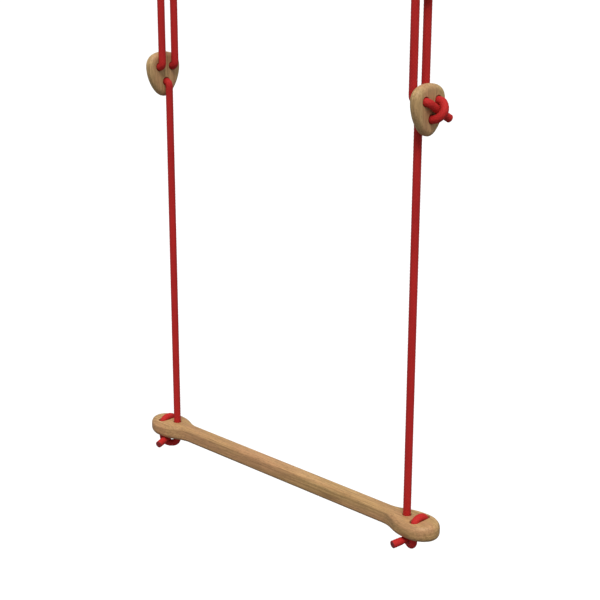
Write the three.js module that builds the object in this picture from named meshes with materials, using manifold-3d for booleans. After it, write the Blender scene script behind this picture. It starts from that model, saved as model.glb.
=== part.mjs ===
// A wooden trapeze swing: a shaped bar hung from two ropes, each rope shortened by a
// wooden adjuster and looped over a steel link under a ceiling bracket.
// Millimetres, +X along the bar, +Y away from the user, +Z up.
// The origin lies on the ceiling, midway between the two brackets.
import * as THREE from 'three';
import { mergeVertices } from 'three/addons/utils/BufferGeometryUtils.js';
import Module from 'manifold-3d';

const wasm = await Module();
wasm.setup();

// Driving dimensions
const ROPE_DIAMETER = 11;
const ROPE_SPACING = 480;
const TAIL_DIAMETER = 7.8;
const HOLE_DIAMETER = 12.4;
const HOLE_FLARE = 0.8;
const HOLE_PAIR_SPACING = 24.2;
const HOLE_PAIR_OFFSET = 22.5;
const GAP = 0.3;

const BAR_TOP = -834.5;
const BAR_THICKNESS = 24;
const BAR_HALF_WIDTH = 10.6;
const BAR_ROUNDING = 6;
const BULB_ROUNDING = 9;

// The bulb at each end of the bar, with its lengths taken along the bar from the rope's line.
// The eases are how far its outline keeps its direction from the neck, the widest place and the tip.
const NECK_BEFORE_ROPE = 38;
const WIDEST_AFTER_ROPE = 20.5;
const TIP_AFTER_ROPE = 52.2;
const BULB_HALF_WIDTH = 26;
const NECK_EASE = 22;
const SHOULDER_EASE = 32.5;
const TIP_EASE = 16;
const TIP_FLATNESS = 14;

const ADJUSTER_HOLES = BAR_TOP + 565.5;
const ADJUSTER_THICKNESS = 15.5;
const ADJUSTER_HALF_WIDTH = 29.2;
const ADJUSTER_TOP = 21.3;
const ADJUSTER_BOTTOM = 44.5;
const ADJUSTER_ROUNDING = 6.3;
const ADJUSTER_ROUNDING_REACH = 7.3;
const ADJUSTER_BOTTOM_EASE = 13;
const ADJUSTER_SIDE_EASE = 21;
const ADJUSTER_SHOULDER_EASE = 15.5;
const ROPE_TO_ADJUSTER = 6;

const AXLE_DROP = 32;
const AXLE_RADIUS = 5;
const EAR_INNER = 6.3;
const EAR_THICKNESS = 5;
const EAR_RADIUS = 14;
const EAR_FLARE = 4;
const WELD_OVERLAP = 1;
const PLATE_THICKNESS = 6;
const PLATE_LENGTH = 84;
const PLATE_WIDTH = 60;
const PLATE_CORNER = 8;
const SCREW_HOLE_RADIUS = 3.4;
const SCREW_INSET = 11;
const WASHER_THICKNESS = 2;
const WASHER_RADIUS = 10;
const HEAD_HEIGHT = 6.4;
const NUT_HEIGHT = 9;
const HEX_ACROSS_FLATS = 17;
const BOLT_TIP = 26.5;

const TAB_THICKNESS = 8;
const TAB_EYE_RADIUS = 15;
const TAB_HOLE_RADIUS = 8;
const TAB_HOLE_DROP = 26;
const BUSH_RADIUS = 8;
const BUSH_FLANGE_RADIUS = 11;
const BUSH_CLEARANCE = 0.15;

const LINK_WIRE_RADIUS = 6;
const LINK_BEND_RADIUS = 16;
const LINK_STRAIGHT = 44;
const LINK_OPENING = 13;
const SLEEVE_LENGTH = 27;
const SLEEVE_ACROSS_FLATS = 17;

// The rope hinges where it enters the bar, in a short ball of rope at this height above the bar
const BALL_ABOVE_BAR = 7;
const FOOT_LENGTH = 20;
const STRAND_END = 12;

// Facets
const ROPE_SIDES = 8;
const ROUND_SEGMENTS = 24;
const DRILL_SEGMENTS = 16;
const WIRE_SIDES = 8;

// Heights that follow from the dimensions
const ROPE_RADIUS = ROPE_DIAMETER / 2;
const ropeX = ROPE_SPACING / 2;
const pairY = HOLE_PAIR_SPACING / 2;
const tabHoleZ = -AXLE_DROP - TAB_HOLE_DROP;
const linkInnerRadius = LINK_BEND_RADIUS - LINK_WIRE_RADIUS;
const linkSeatHeight = Math.sqrt(linkInnerRadius ** 2 - (TAB_THICKNESS / 2) ** 2);
const linkTopCentreZ = tabHoleZ - TAB_HOLE_RADIUS - linkSeatHeight + GAP;
const linkBottomCentreZ = linkTopCentreZ - LINK_STRAIGHT;
const ballZ = BAR_TOP + BALL_ABOVE_BAR;
const footBottomZ = ballZ + ROPE_RADIUS + GAP;
const footTopZ = footBottomZ + FOOT_LENGTH;

// Materials
const finish = (color, roughness, metalness = 0) =>
  new THREE.MeshStandardMaterial({ color, roughness, metalness });
const wood = () => finish(0xc49b6c, 0.6);
const rope = () => finish(0xb02a2c, 0.85);
const steel = () => finish(0xb9bcc0, 0.35, 1);
const nylon = () => finish(0xe9e7df, 0.5);

const group = new THREE.Group();

function addPiece(name, geometry, material, position = [0, 0, 0]) {
  const mesh = new THREE.Mesh(geometry, material);
  mesh.name = name;
  mesh.position.set(...position);
  group.add(mesh);
}

// Closed geometry to solid and back, for cuts and joins
function toSolid(geometry) {
  const bare = geometry.clone();
  bare.deleteAttribute('normal');
  bare.deleteAttribute('uv');
  const merged = mergeVertices(bare, 1e-4);
  return new wasm.Manifold(new wasm.Mesh({
    numProp: 3,
    vertProperties: new Float32Array(merged.attributes.position.array),
    triVerts: new Uint32Array(merged.index.array),
  }));
}

function toGeometry(solid) {
  const mesh = solid.getMesh();
  const geometry = new THREE.BufferGeometry();
  geometry.setAttribute('position', new THREE.BufferAttribute(mesh.vertProperties, 3));
  geometry.setIndex(new THREE.BufferAttribute(mesh.triVerts, 1));
  return geometry;
}

// Turns a shape extruded along local Z so that it is extruded along X, its plane being YZ
function alongX(geometry) {
  const turn = new THREE.Matrix4().makeBasis(
    new THREE.Vector3(0, 1, 0),
    new THREE.Vector3(0, 0, 1),
    new THREE.Vector3(1, 0, 0),
  );
  return geometry.applyMatrix4(turn);
}

function extrude(shape, depth, curveSegments = ROUND_SEGMENTS) {
  return new THREE.ExtrudeGeometry(shape, { depth, bevelEnabled: false, curveSegments });
}

// Which way is inwards at each point of an anticlockwise outline, long enough there to move
// both edges that meet at the point inwards by one
function inwardSteps(outline) {
  const count = outline.length;
  return outline.map((point, i) => {
    const before = point.clone().sub(outline[(i + count - 1) % count]).normalize();
    const after = outline[(i + 1) % count].clone().sub(point).normalize();
    const along = before.add(after).normalize();
    const inwards = new THREE.Vector2(-along.y, along.x);
    return inwards.divideScalar(Math.max(0.5, along.dot(after)));
  });
}

// A board with both faces' edges rounded over, from z = 0 to z = thickness. The rounding is
// given at each point of the outline, as its reach in from the side and in from the face.
function roundedBoard(shape, thickness, roundingAt, curveSegments) {
  const outline = shape.getPoints(curveSegments).slice(0, -1);
  const count = outline.length;
  const inwards = inwardSteps(outline);
  const roundings = outline.map(roundingAt);
  const steps = 3;
  const vertices = [];
  const addLevel = (angle, fromTop) => outline.forEach((point, i) => {
    const [sideReach, faceReach] = roundings[i];
    const place = point.clone().addScaledVector(inwards[i], sideReach * (1 - Math.sin(angle)));
    const height = faceReach * (1 - Math.cos(angle));
    vertices.push(place.x, place.y, fromTop ? thickness - height : height);
  });
  for (let i = 0; i <= steps; i++) addLevel((Math.PI / 2) * (i / steps), false);
  for (let i = steps; i >= 0; i--) addLevel((Math.PI / 2) * (i / steps), true);

  const triangles = [];
  const lastLevel = 2 * steps + 1;
  for (let level = 0; level < lastLevel; level++) {
    for (let i = 0; i < count; i++) {
      const low = level * count;
      const next = (i + 1) % count;
      triangles.push(low + i, low + next, low + count + next);
      triangles.push(low + i, low + count + next, low + count + i);
    }
  }
  const facePoints = outline.map((point, i) =>
    point.clone().addScaledVector(inwards[i], roundings[i][0]));
  for (const [a, b, c] of THREE.ShapeUtils.triangulateShape(facePoints, [])) {
    triangles.push(a, c, b);
    triangles.push(lastLevel * count + a, lastLevel * count + b, lastLevel * count + c);
  }
  const geometry = new THREE.BufferGeometry();
  geometry.setAttribute('position', new THREE.Float32BufferAttribute(vertices, 3));
  geometry.setIndex(triangles);
  return geometry;
}

// A cylinder along X from x = start to x = end, at y = 0, z = 0
function rodX(radius, start, end, segments = ROUND_SEGMENTS) {
  const rod = new THREE.CylinderGeometry(radius, radius, end - start, segments);
  return rod.rotateZ(Math.PI / 2).translate((start + end) / 2, 0, 0);
}

function discShape(radius, holeRadius = 0) {
  const shape = new THREE.Shape().absarc(0, 0, radius, 0, 2 * Math.PI, false);
  if (holeRadius > 0) {
    shape.holes.push(new THREE.Path().absarc(0, 0, holeRadius, 0, 2 * Math.PI, true));
  }
  return shape;
}

function hexShape(acrossFlats, holeRadius = 0) {
  const corner = acrossFlats / 2 / Math.cos(Math.PI / 6);
  const points = [];
  for (let i = 0; i < 6; i++) {
    const angle = (i * Math.PI) / 3;
    points.push(new THREE.Vector2(corner * Math.cos(angle), corner * Math.sin(angle)));
  }
  const shape = new THREE.Shape(points);
  if (holeRadius > 0) {
    shape.holes.push(new THREE.Path().absarc(0, 0, holeRadius, 0, 2 * Math.PI, true));
  }
  return shape;
}

// A round rod bent along a smooth curve through the points
function bentRod(points, radius, steps, sides) {
  const section = new THREE.Shape();
  for (let i = 0; i < sides; i++) {
    const angle = (2 * Math.PI * i) / sides;
    const corner = [radius * Math.cos(angle), radius * Math.sin(angle)];
    if (i === 0) section.moveTo(...corner);
    else section.lineTo(...corner);
  }
  section.closePath();
  const path = new THREE.CatmullRomCurve3(points.map((p) => new THREE.Vector3(...p)));
  path.curveType = 'centripetal';
  path.arcLengthDivisions = 1000;
  return new THREE.ExtrudeGeometry(section, { extrudePath: path, steps, bevelEnabled: false });
}

// Rope routes, outwards from the swing's centre: x outwards, y, z.
// At the adjuster, x = 0 is the rope's line and z = 0 is the line of the two upper holes.
// Down the back strand, through the back hole, round in a standing loop, and back through
// the lower hole to the long strand that carries the bar.
const ADJUSTER_LOOP_ROUTE = [
  [0, 12.1, 12],
  [0, 12.1, 6],
  [0.8, 12.1, 3],
  [3, 12.1, 0.8],
  [6, 12.1, 0],
  [13.5, 12.1, 0],
  [21.5, 12.1, 0],
  [23.1, 12.1, 0],
  [28.2, 11.6, -1.3],
  [32.6, 9.7, -5],
  [35.6, 6.4, -10.9],
  [33.8, 3, -16.9],
  [29.3, 0.8, -21],
  [23.1, 0, -22.5],
  [21.5, 0, -22.5],
  [13.5, 0, -22.5],
  [6, 0, -22.5],
  [3, 0, -23.3],
  [0.8, 0, -25.5],
  [0, 0, -28.5],
  [0, 0, -34.5],
];
// Down the front strand, through the front hole, and under the standing loop to the cut end
const ADJUSTER_TAIL_ROUTE = [
  [0, -12.1, 12],
  [0, -12.1, 6],
  [0.8, -12.1, 3],
  [3, -12.1, 0.8],
  [6, -12.1, 0],
  [13.5, -12.1, 0],
  [19.5, -12.1, 0],
  [22.8, -11.2, -0.6],
  [25.2, -8.6, -2.2],
  [26, -4.5, -4.8],
  [25.9, 6.05, -11.25],
  [26, 13, -15.4],
  [26.8, 20, -19.6],
  [28, 27, -23.8],
];
// At the bar, x = 0 is the rope's line and z = 0 is the bar's top.
// Down through the inner hole, under the bar, up the front hole, across the top in a groove,
// and down the back hole
const BAR_LACING_ROUTE = [
  [0, 0, 1.2],
  [0, 0, -6],
  [0, 0, -15],
  [0, 0, -24],
  [0, 0, -27],
  [1.3, -0.7, -32.6],
  [4.5, -2.4, -36.4],
  [9.5, -5.1, -37.9],
  [15, -8.1, -37.7],
  [19.6, -10.6, -35],
  [22, -11.9, -31],
  [22.5, -12.1, -27],
  [22.5, -12.1, -24],
  [22.5, -12.1, -15],
  [22.5, -12.1, -9],
  [22.5, -11.2, -4.4],
  [22.5, -8.4, -0.6],
  [22.5, -4.4, 1.3],
  [22.5, 0, 1.8],
  [22.5, 4.4, 1.3],
  [22.5, 8.4, -0.6],
  [22.5, 11.2, -4.4],
  [22.5, 12.1, -9],
  [22.5, 12.1, -13],
];
// On down the back hole, and between the bar and the first turn to the cut end
const BAR_TAIL_ROUTE = [
  [22.5, 12.1, -13.3],
  [22.5, 12.1, -18],
  [22.4, 11.9, -22.5],
  [21.5, 9.9, -26.6],
  [19.6, 6, -28.3],
  [17, 0.8, -28.3],
  [13.2, -7, -28.2],
  [10.4, -17.5, -28.8],
  [7.9, -27, -30.2],
  [5.5, -35.5, -31.3],
];

// The stretch of the lacing that lies in the groove across the bar's top
const GROOVE_FIRST = 13;
const GROOVE_LAST = 24;

function placeRoute(route, side, z) {
  return route.map(([x, y, height]) => [side * (ropeX + x), y, z + height]);
}

function addRope(name, points, steps, radius = ROPE_RADIUS) {
  addPiece(name, bentRod(points, radius, steps, ROPE_SIDES), rope());
}

// A drill with flared ends, which leaves a hole with eased rims through a board on z = 0
function drillZ(thickness) {
  const radius = HOLE_DIAMETER / 2;
  const profile = [
    [0, -1],
    [radius + HOLE_FLARE + 1, -1],
    [radius, HOLE_FLARE],
    [radius, thickness - HOLE_FLARE],
    [radius + HOLE_FLARE + 1, thickness + 1],
    [0, thickness + 1],
  ].map(([r, z]) => new THREE.Vector2(r, z));
  return new THREE.LatheGeometry(profile, DRILL_SEGMENTS).rotateX(Math.PI / 2);
}

// The bar's outline, which swells from the straight grip to a bulb at each end
function barShape() {
  const neck = ropeX - NECK_BEFORE_ROPE;
  const widest = ropeX + WIDEST_AFTER_ROPE;
  const tip = ropeX + TIP_AFTER_ROPE;
  const shape = new THREE.Shape();
  shape.moveTo(-neck, -BAR_HALF_WIDTH);
  for (const end of [1, -1]) {
    const at = (x, y) => [end * x, end * y];
    shape.lineTo(...at(neck, -BAR_HALF_WIDTH));
    shape.bezierCurveTo(...at(neck + NECK_EASE, -BAR_HALF_WIDTH),
      ...at(widest - SHOULDER_EASE, -BULB_HALF_WIDTH), ...at(widest, -BULB_HALF_WIDTH));
    shape.bezierCurveTo(...at(widest + TIP_EASE, -BULB_HALF_WIDTH),
      ...at(tip, -TIP_FLATNESS), ...at(tip, 0));
    shape.bezierCurveTo(...at(tip, TIP_FLATNESS),
      ...at(widest + TIP_EASE, BULB_HALF_WIDTH), ...at(widest, BULB_HALF_WIDTH));
    shape.bezierCurveTo(...at(widest - SHOULDER_EASE, BULB_HALF_WIDTH),
      ...at(neck + NECK_EASE, BAR_HALF_WIDTH), ...at(neck, BAR_HALF_WIDTH));
  }
  return shape;
}

// The edges are rounded more and more from the neck to the bulb's widest place
function barRounding(point) {
  const fromNeck = Math.abs(point.x) - (ropeX - NECK_BEFORE_ROPE);
  const share = THREE.MathUtils.smoothstep(fromNeck, 0, NECK_BEFORE_ROPE + WIDEST_AFTER_ROPE);
  const rounding = THREE.MathUtils.lerp(BAR_ROUNDING, BULB_ROUNDING, share);
  return [rounding, rounding];
}

function addBar() {
  let bar = toSolid(roundedBoard(barShape(), BAR_THICKNESS, barRounding, 7));
  for (const side of [-1, 1]) {
    const holes = [
      [ropeX, 0],
      [ropeX + HOLE_PAIR_OFFSET, -pairY],
      [ropeX + HOLE_PAIR_OFFSET, pairY],
    ];
    for (const [x, y] of holes) {
      bar = bar.subtract(toSolid(drillZ(BAR_THICKNESS).translate(side * x, y, 0)));
    }
    const across = BAR_LACING_ROUTE.slice(GROOVE_FIRST, GROOVE_LAST)
      .map(([x, y, z]) => [side * (ropeX + x), y, BAR_THICKNESS + z]);
    bar = bar.subtract(toSolid(bentRod(across, HOLE_DIAMETER / 2, 14, 12)));
  }
  addPiece('bar', toGeometry(bar), wood(), [0, 0, BAR_TOP - BAR_THICKNESS]);
}

// An egg, widest on the line of the two upper holes
function adjusterShape() {
  const shape = new THREE.Shape();
  shape.moveTo(0, -ADJUSTER_BOTTOM);
  shape.bezierCurveTo(ADJUSTER_BOTTOM_EASE, -ADJUSTER_BOTTOM,
    ADJUSTER_HALF_WIDTH, -ADJUSTER_SIDE_EASE, ADJUSTER_HALF_WIDTH, 0);
  shape.bezierCurveTo(ADJUSTER_HALF_WIDTH, ADJUSTER_SHOULDER_EASE,
    ADJUSTER_SHOULDER_EASE, ADJUSTER_TOP, 0, ADJUSTER_TOP);
  shape.bezierCurveTo(-ADJUSTER_SHOULDER_EASE, ADJUSTER_TOP,
    -ADJUSTER_HALF_WIDTH, ADJUSTER_SHOULDER_EASE, -ADJUSTER_HALF_WIDTH, 0);
  shape.bezierCurveTo(-ADJUSTER_HALF_WIDTH, -ADJUSTER_SIDE_EASE,
    -ADJUSTER_BOTTOM_EASE, -ADJUSTER_BOTTOM, 0, -ADJUSTER_BOTTOM);
  return shape;
}

function addAdjuster(name, side) {
  const rounding = () => [ADJUSTER_ROUNDING_REACH, ADJUSTER_ROUNDING];
  let board = toSolid(roundedBoard(adjusterShape(), ADJUSTER_THICKNESS, rounding, 8));
  for (const [y, z] of [[-pairY, 0], [pairY, 0], [0, -HOLE_PAIR_OFFSET]]) {
    board = board.subtract(toSolid(drillZ(ADJUSTER_THICKNESS).translate(y, z, 0)));
  }
  const nearFace = side > 0
    ? ropeX + ROPE_TO_ADJUSTER
    : -ropeX - ROPE_TO_ADJUSTER - ADJUSTER_THICKNESS;
  addPiece(name, alongX(toGeometry(board)), wood(), [nearFace, 0, ADJUSTER_HOLES]);
}

// The bracket's plate seen from above, with round corners and four screw holes
function plateShape() {
  const halfLength = PLATE_LENGTH / 2;
  const halfWidth = PLATE_WIDTH / 2;
  const shape = new THREE.Shape();
  const corners = [[1, 1], [-1, 1], [-1, -1], [1, -1]];
  corners.forEach(([sx, sy], i) => {
    shape.absarc(sx * (halfLength - PLATE_CORNER), sy * (halfWidth - PLATE_CORNER), PLATE_CORNER,
      (i * Math.PI) / 2, ((i + 1) * Math.PI) / 2, false);
    shape.holes.push(new THREE.Path().absarc(sx * (halfLength - SCREW_INSET),
      sy * (halfWidth - SCREW_INSET), SCREW_HOLE_RADIUS, 0, 2 * Math.PI, true));
  });
  return shape;
}

// An ear that widens up to the plate, with a hole for the bolt
function earShape() {
  const foot = WELD_OVERLAP - PLATE_THICKNESS;
  const shape = new THREE.Shape();
  shape.moveTo(-EAR_RADIUS - EAR_FLARE, foot);
  shape.lineTo(-EAR_RADIUS, -AXLE_DROP);
  shape.absarc(0, -AXLE_DROP, EAR_RADIUS, Math.PI, 2 * Math.PI, false);
  shape.lineTo(EAR_RADIUS + EAR_FLARE, foot);
  shape.holes.push(new THREE.Path().absarc(0, -AXLE_DROP, AXLE_RADIUS + GAP,
    0, 2 * Math.PI, true));
  return shape;
}

// The plate screwed to the ceiling and its two ears, welded into one piece
function addBracket(name, x) {
  const plate = extrude(plateShape(), PLATE_THICKNESS, 8).translate(0, 0, -PLATE_THICKNESS);
  let bracket = toSolid(plate);
  for (const start of [EAR_INNER, -EAR_INNER - EAR_THICKNESS]) {
    const ear = alongX(extrude(earShape(), EAR_THICKNESS, 12)).translate(start, 0, 0);
    bracket = bracket.add(toSolid(ear));
  }
  addPiece(name, toGeometry(bracket), steel(), [x, 0, 0]);
}

// Bolt, washers and nut: the bolt's head is on the side away from the swing's centre
function addAxle(prefix, side, x) {
  const earOuter = EAR_INNER + EAR_THICKNESS;
  const washerStart = earOuter + GAP;
  const headStart = washerStart + WASHER_THICKNESS + GAP;
  const place = [x, 0, -AXLE_DROP];
  const outwards = (geometry, depth, start) =>
    alongX(geometry).translate(side > 0 ? start : -start - depth, 0, 0);
  const inwards = (geometry, depth, start) =>
    alongX(geometry).translate(side > 0 ? -start - depth : start, 0, 0);

  const shankEnds = side > 0 ? [-BOLT_TIP, headStart + 1] : [-headStart - 1, BOLT_TIP];
  const head = outwards(extrude(hexShape(HEX_ACROSS_FLATS), HEAD_HEIGHT), HEAD_HEIGHT, headStart);
  const bolt = toSolid(head).add(toSolid(rodX(AXLE_RADIUS, ...shankEnds)));
  addPiece(`${prefix}_axle_bolt`, toGeometry(bolt), steel(), place);

  const washer = () => extrude(discShape(WASHER_RADIUS, AXLE_RADIUS + GAP), WASHER_THICKNESS, 12);
  addPiece(`${prefix}_head_washer`, outwards(washer(), WASHER_THICKNESS, washerStart),
    steel(), place);
  addPiece(`${prefix}_nut_washer`, inwards(washer(), WASHER_THICKNESS, washerStart),
    steel(), place);
  const nut = extrude(hexShape(HEX_ACROSS_FLATS, AXLE_RADIUS + GAP), NUT_HEIGHT, 12);
  addPiece(`${prefix}_lock_nut`, inwards(nut, NUT_HEIGHT, headStart), steel(), place);
}

// Two flanged half bushes in the hanger tab's eye, which turns on the bolt
function addBushes(prefix, x) {
  for (const [name, direction] of [['inner', -1], ['outer', 1]]) {
    const profile = [
      [AXLE_RADIUS + BUSH_CLEARANCE, BUSH_CLEARANCE],
      [BUSH_RADIUS, BUSH_CLEARANCE],
      [BUSH_RADIUS, TAB_THICKNESS / 2 + GAP],
      [BUSH_FLANGE_RADIUS, TAB_THICKNESS / 2 + GAP],
      [BUSH_FLANGE_RADIUS, EAR_INNER - GAP],
      [AXLE_RADIUS + BUSH_CLEARANCE, EAR_INNER - GAP],
      [AXLE_RADIUS + BUSH_CLEARANCE, BUSH_CLEARANCE],
    ].map(([radius, along]) => new THREE.Vector2(radius, along));
    const bush = new THREE.LatheGeometry(profile, ROUND_SEGMENTS);
    bush.rotateZ(-Math.PI / 2);
    const outwardSide = Math.sign(x) * direction;
    if (outwardSide < 0) bush.rotateZ(Math.PI);
    addPiece(`${prefix}_${name}_bush`, bush, nylon(), [x, 0, -AXLE_DROP]);
  }
}

// A flat steel tab: the upper eye turns on the bushes, the lower hole holds the link
function addHangerTab(name, x) {
  const shape = new THREE.Shape();
  shape.absarc(0, 0, TAB_EYE_RADIUS, 0, Math.PI, false);
  shape.absarc(0, -TAB_HOLE_DROP, TAB_EYE_RADIUS, Math.PI, 2 * Math.PI, false);
  const eye = new THREE.Path().absarc(0, 0, BUSH_RADIUS + GAP, 0, 2 * Math.PI, true);
  const hole = new THREE.Path().absarc(0, -TAB_HOLE_DROP, TAB_HOLE_RADIUS, 0, 2 * Math.PI, true);
  shape.holes.push(eye, hole);
  const tab = alongX(extrude(shape, TAB_THICKNESS, 16)).translate(-TAB_THICKNESS / 2, 0, 0);
  addPiece(name, tab, steel(), [x, 0, -AXLE_DROP]);
}

// Half a turn of the link round a bend's centre, as points [outwards, z]
function linkBend(centreZ, startAngle) {
  const steps = 8;
  const points = [];
  for (let i = 0; i <= steps; i++) {
    const angle = startAngle + (Math.PI * i) / steps;
    points.push([
      LINK_BEND_RADIUS * Math.cos(angle),
      centreZ + LINK_BEND_RADIUS * Math.sin(angle),
    ]);
  }
  return points;
}

// An oval link of round bar, open on its outer side where a threaded sleeve closes it
function addLink(prefix, side) {
  const x = side * ropeX;
  const middle = (linkTopCentreZ + linkBottomCentreZ) / 2;
  const fromMiddle = [LINK_OPENING / 2, (LINK_STRAIGHT + LINK_OPENING) / 4];
  const points = [
    ...fromMiddle.map((z) => [LINK_BEND_RADIUS, middle + z]),
    ...linkBend(linkTopCentreZ, 0),
    [-LINK_BEND_RADIUS, middle + LINK_STRAIGHT / 4],
    [-LINK_BEND_RADIUS, middle - LINK_STRAIGHT / 4],
    ...linkBend(linkBottomCentreZ, Math.PI),
    ...fromMiddle.reverse().map((z) => [LINK_BEND_RADIUS, middle - z]),
  ];
  const wire = points.map(([outwards, z]) => [x + side * outwards, 0, z]);
  addPiece(`${prefix}_link`, bentRod(wire, LINK_WIRE_RADIUS, 44, WIRE_SIDES), steel());

  const sleeve = extrude(hexShape(SLEEVE_ACROSS_FLATS, LINK_WIRE_RADIUS + GAP), SLEEVE_LENGTH, 12);
  addPiece(`${prefix}_link_sleeve`, sleeve, steel(),
    [x + side * LINK_BEND_RADIUS, 0, middle - SLEEVE_LENGTH / 2]);
}

// The turn of rope over the link, and the two strands from it down to the adjuster
function addRopeOverLink(prefix, side) {
  const x = side * ropeX;
  const seat = linkBottomCentreZ - LINK_BEND_RADIUS;
  const turnCentreZ = seat + LINK_WIRE_RADIUS + GAP + ROPE_RADIUS - pairY;
  const turnEndZ = turnCentreZ - ROPE_DIAMETER;
  const points = [[x, -pairY, turnEndZ]];
  const turnSteps = 8;
  for (let i = 0; i <= turnSteps; i++) {
    const angle = Math.PI - (Math.PI * i) / turnSteps;
    points.push([x, pairY * Math.cos(angle), turnCentreZ + pairY * Math.sin(angle)]);
  }
  points.push([x, pairY, turnEndZ]);
  addRope(`${prefix}_rope_link_turn`, points, 16);
  const strandEnds = [turnEndZ - GAP, ADJUSTER_HOLES + STRAND_END + GAP];
  for (const [place, y] of [['front', -pairY], ['back', pairY]]) {
    addRope(`${prefix}_rope_${place}_strand`, strandEnds.map((z) => [x, y, z]), 4);
  }
}

function addRopePieces(prefix, side) {
  const x = side * ropeX;
  const tailRadius = TAIL_DIAMETER / 2;
  addRopeOverLink(prefix, side);
  addRope(`${prefix}_rope_adjuster_loop`,
    placeRoute(ADJUSTER_LOOP_ROUTE, side, ADJUSTER_HOLES), 36);
  addRope(`${prefix}_rope_adjuster_tail`,
    placeRoute(ADJUSTER_TAIL_ROUTE, side, ADJUSTER_HOLES), 22, tailRadius);
  const strandTop = ADJUSTER_HOLES - HOLE_PAIR_OFFSET - STRAND_END - GAP;
  const strandBottom = footTopZ + GAP;
  addRope(`${prefix}_rope_long_strand`, [[x, 0, strandTop], [x, 0, strandBottom]], 20);
  addRope(`${prefix}_rope_foot`, [[x, 0, footTopZ], [x, 0, footBottomZ]], 2);
  addPiece(`${prefix}_rope_ball`, new THREE.SphereGeometry(ROPE_RADIUS, 10, 8), rope(),
    [x, 0, ballZ]);
  addRope(`${prefix}_rope_bar_lacing`, placeRoute(BAR_LACING_ROUTE, side, BAR_TOP), 48);
  addRope(`${prefix}_rope_bar_tail`, placeRoute(BAR_TAIL_ROUTE, side, BAR_TOP), 20, tailRadius);
}

addBar();
for (const [prefix, side] of [['left', -1], ['right', 1]]) {
  const x = side * ropeX;
  addBracket(`${prefix}_ceiling_bracket`, x);
  addAxle(prefix, side, x);
  addBushes(prefix, x);
  addHangerTab(`${prefix}_hanger_tab`, x);
  addLink(prefix, side);
  addAdjuster(`${prefix}_adjuster`, side);
  addRopePieces(prefix, side);
}

export default group;
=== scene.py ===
import math

import bmesh
import bpy
import numpy as np
from mathutils import Matrix, Vector


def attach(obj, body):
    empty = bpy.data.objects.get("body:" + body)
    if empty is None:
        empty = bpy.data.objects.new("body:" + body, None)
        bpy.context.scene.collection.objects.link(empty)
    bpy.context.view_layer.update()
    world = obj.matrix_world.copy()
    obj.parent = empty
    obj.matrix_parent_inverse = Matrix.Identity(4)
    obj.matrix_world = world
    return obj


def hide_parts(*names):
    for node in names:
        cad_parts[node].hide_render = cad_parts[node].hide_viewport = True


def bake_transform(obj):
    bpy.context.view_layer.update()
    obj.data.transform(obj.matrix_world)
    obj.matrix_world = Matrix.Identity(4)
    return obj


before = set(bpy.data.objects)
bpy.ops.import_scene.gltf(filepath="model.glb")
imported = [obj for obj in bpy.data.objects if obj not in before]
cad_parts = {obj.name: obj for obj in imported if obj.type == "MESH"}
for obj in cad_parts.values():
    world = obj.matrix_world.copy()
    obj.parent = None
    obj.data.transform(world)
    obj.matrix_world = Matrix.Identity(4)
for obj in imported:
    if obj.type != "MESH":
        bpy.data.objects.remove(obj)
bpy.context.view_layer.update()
scene = bpy.context.scene

# Sizes in millimetres, the same as the model's
MM = 0.001
SIDES = (("left", -1), ("right", 1))
ROPE_X = 240
ROPE_RADIUS = 5.5
PRESSED_RADIUS = 3.9
HOLE_RADIUS = 6.2
HOLE_PAIR_Y = 12.1
HOLE_PAIR_OFFSET = 22.5

BAR_TOP = -834.5
BAR_THICKNESS = 24
BAR_HALF_WIDTH = 10.6
BAR_ROUNDING = 6
BULB_ROUNDING = 9
NECK_BEFORE_ROPE = 38
WIDEST_AFTER_ROPE = 20.5
TIP_AFTER_ROPE = 52.2
BULB_HALF_WIDTH = 26
NECK_EASE = 22
SHOULDER_EASE = 32.5
TIP_EASE = 16
TIP_FLATNESS = 14

ADJUSTER_HOLES = BAR_TOP + 565.5
ADJUSTER_THICKNESS = 15.5
ADJUSTER_HALF_WIDTH = 29.2
ADJUSTER_TOP = 21.3
ADJUSTER_BOTTOM = 44.5
ADJUSTER_ROUNDING = 6.3
ADJUSTER_ROUNDING_REACH = 7.3
ADJUSTER_BOTTOM_EASE = 13
ADJUSTER_SIDE_EASE = 21
ADJUSTER_SHOULDER_EASE = 15.5
ROPE_TO_ADJUSTER = 6

GAP = 0.3
AXLE_DROP = 32
AXLE_RADIUS = 5
EAR_INNER = 6.3
EAR_THICKNESS = 5
EAR_RADIUS = 14
EAR_FLARE = 4
PLATE_THICKNESS = 6
PLATE_HALF_LENGTH = 42
PLATE_HALF_WIDTH = 30
PLATE_CORNER = 8
SCREW_HOLE_RADIUS = 3.4
SCREW_INSET = 11
WASHER_THICKNESS = 2
WASHER_RADIUS = 10
HEAD_HEIGHT = 6.4
NUT_HEIGHT = 9
HEX_ACROSS_FLATS = 17
BOLT_TIP = 26.5
TAB_THICKNESS = 8
TAB_EYE_RADIUS = 15
TAB_HOLE_RADIUS = 8
TAB_HOLE_DROP = 26
BUSH_RADIUS = 8
BUSH_FLANGE_RADIUS = 11
BUSH_CLEARANCE = 0.15
LINK_WIRE_RADIUS = 6
LINK_BEND_RADIUS = 16
LINK_STRAIGHT = 44
SLEEVE_LENGTH = 27

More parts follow.
